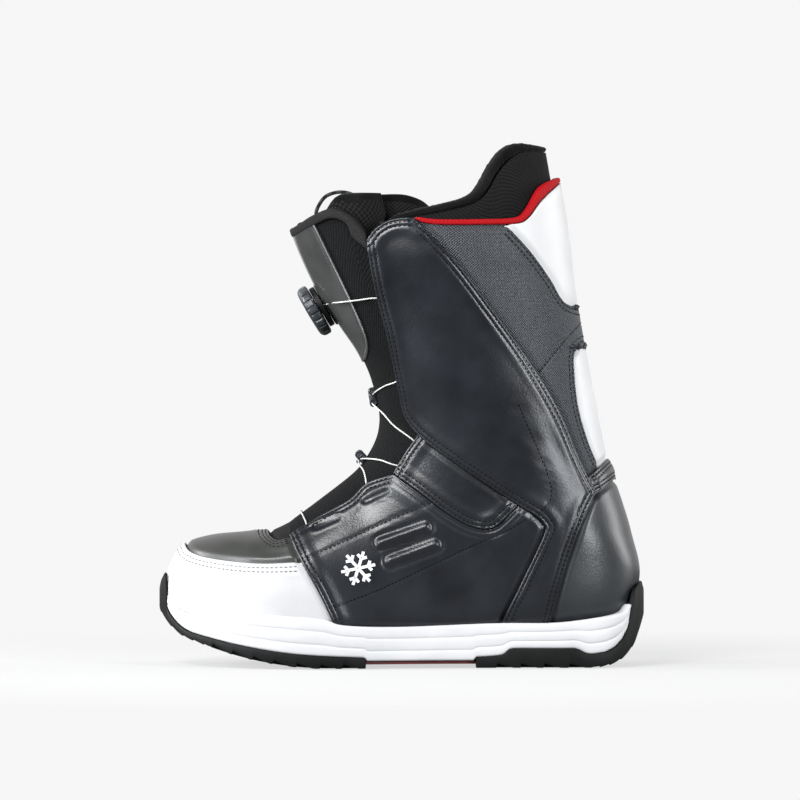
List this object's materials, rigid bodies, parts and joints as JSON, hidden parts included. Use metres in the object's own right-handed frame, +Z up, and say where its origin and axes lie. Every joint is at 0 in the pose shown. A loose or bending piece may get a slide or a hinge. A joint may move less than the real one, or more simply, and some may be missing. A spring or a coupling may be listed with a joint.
{
  "type": "snowboard boot",
  "caption": "Left snowboard boot with a removable padded liner, a tall leather cuff and a wire lace wound by a dial on the tongue.",
  "frame": {"origin": "centre of the bounding box's bottom face, on the ground under the sole", "axes": "+Z up, toe to -X, heel to +X, outer (lateral) side to -Y and inner (medial) side to +Y"},
  "size_m": [0.3104, 0.116, 0.3342],
  "materials": {
    "smooth_leather": "black smooth synthetic leather, soft sheen",
    "grain_leather": "black embossed synthetic leather",
    "olive_leather": "off-black coated leather",
    "white_leather": "white synthetic leather",
    "white_foam": "white moulded midsole foam",
    "black_rubber": "black moulded rubber",
    "red_plate": "dark red moulded plate",
    "red_cloth": "red binding tape",
    "knit": "black fine knit over foam",
    "fleece": "black short fleece",
    "plastic": "black moulded plastic",
    "grey_plastic": "grey moulded plastic",
    "gloss_shield": "glossy dark grey film over padding",
    "steel": "stainless wire",
    "board": "pressed fibre board and nylon",
    "bed_foam": "grey footbed foam"
  },
  "bodies": {
    "boot": {"toe_cap": "white_leather", "vamp": "olive_leather", "throat_tab": "olive_leather", "backstay_upper": "white_leather", "backstay_lower": "white_leather", "heel_strap": "smooth_leather", "heel_counter": "olive_leather", "quarter_lateral": "smooth_leather", "quarter_medial": "smooth_leather", "ankle_patch_lateral": "smooth_leather", "ankle_patch_medial": "smooth_leather", "cuff_lateral": "smooth_leather", "cuff_medial": "smooth_leather", "rear_cuff_lateral": "grain_leather", "rear_cuff_medial": "grain_leather", "collar_trim": "red_cloth", "toe_puff": "board", "heel_stiffener": "board", "lasting_board": "board", "shell_lining": "knit", "tongue_lower": "knit", "tongue_guide_lower": "plastic", "lace": "steel", "liner_shell": "knit", "liner_collar": "fleece", "footbed": "bed_foam", "outsole_forefoot": "black_rubber", "outsole_heel": "black_rubber", "arch_plate": "red_plate", "midsole": "white_foam", "shank": "board", "lace_guide_upper_lateral": "plastic", "lace_guide_upper_medial": "plastic", "lace_guide_middle_lateral": "plastic", "lace_guide_middle_medial": "plastic", "lace_guide_lower_lateral": "plastic", "lace_guide_lower_medial": "plastic"},
    "tongue": {"tongue_upper": "knit", "tongue_shield": "gloss_shield", "tongue_binding": "grey_plastic", "tongue_guide_upper": "plastic", "dial_base": "plastic", "dial_housing": "plastic", "dial_screw": "steel"},
    "spool": {"dial_spool": "plastic"},
    "knob": {"dial_knob": "plastic", "dial_cap": "grey_plastic"},
    "inner_tongue": {"liner_tongue": "fleece", "pull_loop": "knit"}
  },
  "joints": [
    {"name": "tongue_fold", "type": "hinge", "parent": "boot", "child": "tongue", "pos_m": [-0.0155, 0, 0.153], "axis": [0, -1, 0], "range_deg": [0, 35], "deforming": ["lace"]},
    {"name": "inner_tongue_fold", "type": "hinge", "parent": "boot", "child": "inner_tongue", "pos_m": [-0.0155, 0, 0.153], "axis": [0, -1, 0], "range_deg": [0, 35]},
    {"name": "dial_spin", "type": "hinge", "parent": "tongue", "child": "spool", "pos_m": [-0.0482, 0, 0.2307], "axis": [-0.862, 0, -0.507], "continuous": true},
    {"name": "dial_lift", "type": "slide", "parent": "spool", "child": "knob", "axis": [-0.862, 0, -0.507], "range_m": [0, 0.003]}
  ],
  "couplings": [
    {"joint": "inner_tongue_fold", "follows": "tongue_fold", "ratio": 0.9}
  ]
}
